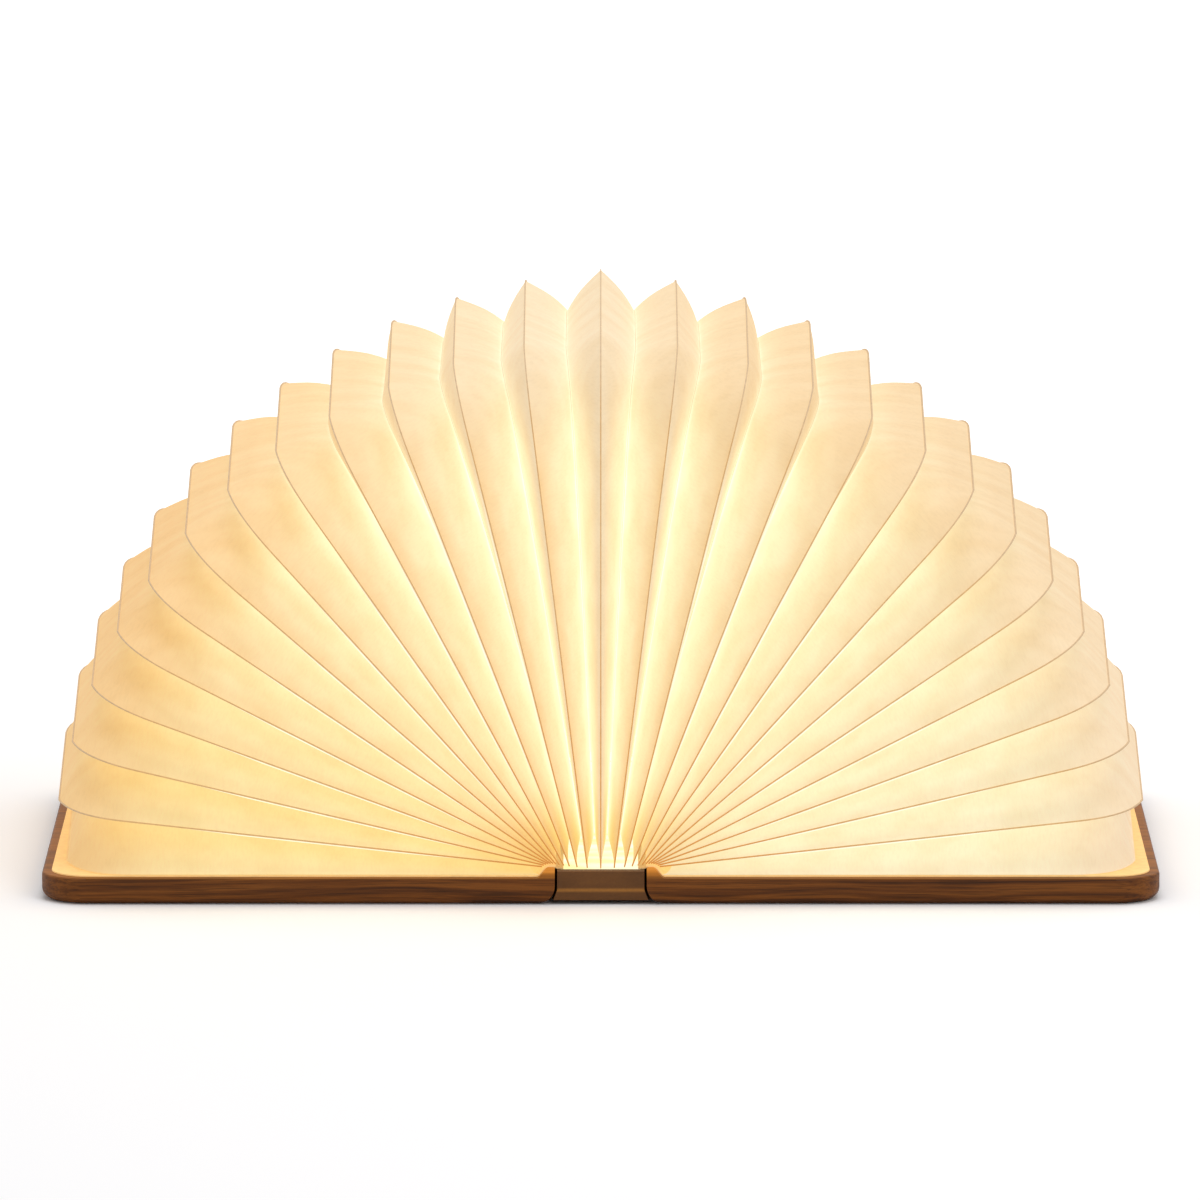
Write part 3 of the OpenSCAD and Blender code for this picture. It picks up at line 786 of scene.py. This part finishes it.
def paper_set():
    """The materials of a paper piece, in the order PAPER, SEAM, INSIDE."""
    c = settings("paper")
    return (shared("lit_paper", lambda: paper_finish(c)),
            shared("paper_seam", lambda: seam_finish(c)),
            shared("paper_inside", lambda: inside_finish(c)))


def finish_page(piece, body, node, anchor):
    """Materials, body and hidden stand-in of a paper piece."""
    dress(piece, *paper_set())
    for material in piece.data.materials:
        material.cycles.emission_sampling = "NONE"
    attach(piece, body)
    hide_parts(node)
    settings("pages").closed
    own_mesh(piece)


# Operators

class BOOKLAMP_OT_pages(bpy.types.Operator):
    """Makes the side pages, each folded from two sheets of paper"""
    bl_idname = "booklamp.pages"
    bl_label = "Side pages"

    def execute(self, context):
        fan = Fan(settings("pages"))
        for side, sign in SIDES.items():
            for k in range(1, fan.last):
                name = f"{side}_page_{k:02d}"
                piece = page_piece(name + "_paper", fan, k, side)
                across, root = fan.upward(k), fan.root(k)
                finish_page(piece, name, name,
                            anchor=(sign * root[0], 0, root[1]))
        return {"FINISHED"}


class BOOKLAMP_OT_middle_page(bpy.types.Operator):
    """Makes the two halves of the middle page"""
    bl_idname = "booklamp.middle_page"
    bl_label = "Middle page"

    def execute(self, context):
        fan = Fan(settings("pages"))
        root = fan.root(0)
        for side, sign in SIDES.items():
            piece = half_page_piece(f"middle_page_{side}_half", fan, side)
            finish_page(piece, "spine", "middle_page",
                        anchor=(0, 0, root[1]))
        return {"FINISHED"}


class BOOKLAMP_OT_end_pleats(bpy.types.Operator):
    """Makes the pleats that join the lowest pages to the covers"""
    bl_idname = "booklamp.end_pleats"
    bl_label = "End pleats"

    def execute(self, context):
        fan = Fan(settings("pages"))
        for side in SIDES:
            piece = end_pleat_piece(f"{side}_end_pleat_paper", fan, side)
            finish_page(piece, f"{side}_cover", f"{side}_end_pleat",
                        anchor=(0, 0, settings("pages").foot_height))
        return {"FINISHED"}


class BOOKLAMP_OT_hinge_cloths(bpy.types.Operator):
    """Makes the woven strips that hinge the covers to the spine"""
    bl_idname = "booklamp.hinge_cloths"
    bl_label = "Hinge cloths"

    # The cloth's top: places across it, and their height over the spine
    line = ((0.0122, 0.0004), (0.0132, 0.0004), (0.0141, 0.00042), (0.0145, 0.0006),
            (0.0149, 0.00076), (0.0154, 0.00078))
    thick = 0.00035
    # The bend, from the spine's edge to the cover's
    bend = (0.0141, 0.0149)
    # Steps along the spine
    rows = 60

    def execute(self, context):
        top, thick, rows = node_top("diffuser"), self.thick, self.rows
        low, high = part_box("right_hinge_cloth")
        for side, sign in SIDES.items():
            points, faces = [], []
            for i in range(rows + 1):
                y = low.y + (high.y - low.y) * i / rows
                points += [(sign * x, y, top + z) for x, z in self.line]
                points += [(sign * x, y, top + z - thick) for x, z in reversed(self.line)]
            n = 2 * len(self.line)
            for i in range(rows):
                for j in range(n):
                    a, b = i * n + j, i * n + (j + 1) % n
                    faces.append((a, b, b + n, a + n))
            faces += [tuple(range(n)), tuple(range(rows * n, (rows + 1) * n))]
            mesh = bpy.data.meshes.new(f"{side}_hinge_cloth_strip")
            mesh.from_pydata(points, [], faces)
            work = bmesh.new()
            work.from_mesh(mesh)
            bmesh.ops.recalc_face_normals(work, faces=work.faces)
            work.to_mesh(mesh)
            work.free()
            piece = bpy.data.objects.new(mesh.name, mesh)
            context.scene.collection.objects.link(piece)
            dress(piece, shared("woven_hinge_cloth", lambda: cloth_finish(settings("spine"))))
            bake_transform(piece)
            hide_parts(f"{side}_hinge_cloth")
        return {"FINISHED"}


class BOOKLAMP_OT_covers(bpy.types.Operator):
    """Gives the covers their walnut and their lining its paper"""
    bl_idname = "booklamp.covers"
    bl_label = "Covers"

    def execute(self, context):
        wood = walnut_finish(settings("wood"))
        # The lining's glow is painted lamp light
        lining = plain_finish("lining_paper", srgb(232, 194, 130), 0.8, lit=0.5)
        magnet = plain_finish("plated_magnet", srgb(190, 190, 194), 0.3, 1.0)
        for side in SIDES:
            dress(f"{side}_cover", wood)
            dress(f"{side}_lining", lining)
            dress(f"{side}_closing_magnets", magnet)
            dress(f"{side}_trigger_magnet", magnet)
        return {"FINISHED"}


class BOOKLAMP_OT_spine(bpy.types.Operator):
    """Gives the spine, its caps and its socket their metal"""
    bl_idname = "booklamp.spine"
    bl_label = "Spine"

    def execute(self, context):
        bronze = bronze_finish(settings("spine"))
        for node in ("spine_channel", "front_end_cap", "rear_end_cap"):
            dress(node, bronze)
        dress("usb_socket", plain_finish("socket_steel", srgb(196, 198, 202), 0.28, 1.0))
        dress("board_screws", plain_finish("screw_steel", srgb(176, 178, 182), 0.35, 1.0))
        return {"FINISHED"}


class BOOKLAMP_OT_light_parts(bpy.types.Operator):
    """Gives the light strip, the boards and the battery their finishes"""
    bl_idname = "booklamp.light_parts"
    bl_label = "Light parts"

    def execute(self, context):
        dress("diffuser", light_strip_finish(settings("spine")))
        for node, name, shade, roughness, metallic, lit in (
                ("led_chips", "light_chip_phosphor", srgb(250, 214, 90), 0.4, 0, 1.5),
                ("light_board", "white_board_mask", srgb(236, 236, 230), 0.35, 0, 0),
                ("charge_board", "green_board_mask", srgb(28, 92, 58), 0.35, 0, 0),
                ("control_chips", "chip_moulding", srgb(28, 28, 30), 0.5, 0, 0),
                ("fold_sensors", "sensor_moulding", srgb(34, 34, 36), 0.5, 0, 0),
                ("battery", "battery_foil_pouch", srgb(186, 188, 192), 0.35, 0.8, 0),
                ("battery_pad", "foam_pad", srgb(62, 62, 64), 0.95, 0, 0),
                ("battery_leads", "red_lead_jacket", srgb(168, 26, 22), 0.45, 0, 0),
                ("light_leads", "white_lead_jacket", srgb(232, 232, 228), 0.45, 0, 0)):
            dress(node, plain_finish(name, shade, roughness, metallic, lit=lit))
        return {"FINISHED"}


class BOOKLAMP_OT_stage(bpy.types.Operator):
    """Makes the pale floor, the soft light and the camera"""
    bl_idname = "booklamp.stage"
    bl_label = "Stage"

    def execute(self, context):
        s = settings("stage")
        scene = context.scene
        scene.view_settings.view_transform = "Standard"
        self.floor(scene, s)
        self.world(scene, s)
        for softbox in SOFTBOXES:
            self.lamp(scene, *softbox)
        self.camera(scene, s)
        return {"FINISHED"}

    def floor(self, scene, s):
        mesh = bpy.data.meshes.new("pale_floor")
        half = FLOOR_HALF
        mesh.from_pydata([(-half, -half, 0), (half, -half, 0), (half, half, 0),
                          (-half, half, 0)], [], [(0, 1, 2, 3)])
        floor = bpy.data.objects.new("pale_floor", mesh)
        floor.location.z = -FLOOR_DROP
        scene.collection.objects.link(floor)
        f = Finish("pale_floor_paint", Roughness=0.9, Specular_IOR_Level=0.0)
        seen = seen_by_eye(f.tree)
        # Whiter towards the back, where less light falls
        behind = f.add("SeparateXYZ", {"Vector": f.object_place()}).outputs["Y"]
        white = f.ramp(f.math("MULTIPLY", behind, 1 / FLOOR_FAR), [
            (step, grey(mix(s.floor, s.backdrop, share))) for step, share in FLOOR_STEPS])
        white = f.blend(1.0, white, FLOOR_TINT, "MULTIPLY")
        f.set(Base_Color=f.blend(seen, FLOOR_PAINT, white))
        dress(floor, f.material)

    def world(self, scene, s):
        world = bpy.data.worlds.new("soft_dome")
        scene.world = world
        world.use_nodes = True
        tree = world.node_tree
        back = tree.nodes["Background"]
        back.inputs["Color"].default_value = DOME_COLOUR
        pick = tree.nodes.new("ShaderNodeMapRange")
        pick.inputs["To Min"].default_value = s.dome
        pick.inputs["To Max"].default_value = 1.0
        tree.links.new(seen_by_eye(tree), pick.inputs["Value"])
        tree.links.new(pick.outputs["Result"], back.inputs["Strength"])

    def lamp(self, scene, name, place, size, power):
        light = bpy.data.lights.new(name, "AREA")
        light.shape = "DISK"
        light.size = size
        light.energy = power
        lamp = bpy.data.objects.new(name, light)
        lamp.location = place
        lamp.rotation_euler = (SOFTBOX_AIM - Vector(place)).to_track_quat(
            "-Z", "Y").to_euler()
        scene.collection.objects.link(lamp)

    def camera(self, scene, s):
        data = bpy.data.cameras.new("photo_camera")
        data.lens = s.lens
        data.sensor_width = 36
        data.clip_end = 100
        camera = bpy.data.objects.new("photo_camera", data)
        camera.location = (-s.aside, -s.distance * math.cos(s.elevation),
                           s.aim + s.distance * math.sin(s.elevation))
        camera.rotation_euler = (math.pi / 2 - s.elevation, 0, 0)
        scene.collection.objects.link(camera)
        scene.camera = camera


class BOOKLAMP_PT_panel(bpy.types.Panel):
    """Lists the lamp's sizes, colours and steps"""
    bl_label = "Book Lamp"
    bl_idname = "BOOKLAMP_PT_panel"
    bl_space_type = "VIEW_3D"
    bl_region_type = "UI"
    bl_category = "Book Lamp"

    def draw(self, context):
        layout = self.layout
        for name in GROUPS:
            group = settings(name)
            box = layout.box()
            box.label(text=name.capitalize())
            for key in group.__annotations__:
                box.prop(group, key)
        for step in STEPS:
            layout.operator(step.bl_idname)


GROUPS = {"pages": BookLampPages, "paper": BookLampPaper, "wood": BookLampWood,
          "spine": BookLampSpine, "stage": BookLampStage}
STEPS = (BOOKLAMP_OT_stage, BOOKLAMP_OT_covers, BOOKLAMP_OT_spine, BOOKLAMP_OT_light_parts,
         BOOKLAMP_OT_hinge_cloths, BOOKLAMP_OT_middle_page, BOOKLAMP_OT_pages,
         BOOKLAMP_OT_end_pleats)
CLASSES = (*GROUPS.values(), *STEPS, BOOKLAMP_PT_panel)


def register():
    for item in CLASSES:
        bpy.utils.register_class(item)
    for name, group in GROUPS.items():
        setattr(bpy.types.Scene, "book_lamp_" + name, bpy.props.PointerProperty(type=group))


def unregister():
    for name in GROUPS:
        delattr(bpy.types.Scene, "book_lamp_" + name)
    for item in reversed(CLASSES):
        bpy.utils.unregister_class(item)


def main():
    register()
    bpy.ops.booklamp.stage()
    bpy.ops.booklamp.covers()
    bpy.ops.booklamp.spine()
    bpy.ops.booklamp.light_parts()
    bpy.ops.booklamp.hinge_cloths()
    bpy.ops.booklamp.middle_page()
    bpy.ops.booklamp.pages()
    bpy.ops.booklamp.end_pleats()


if __name__ == "__main__":
    main()
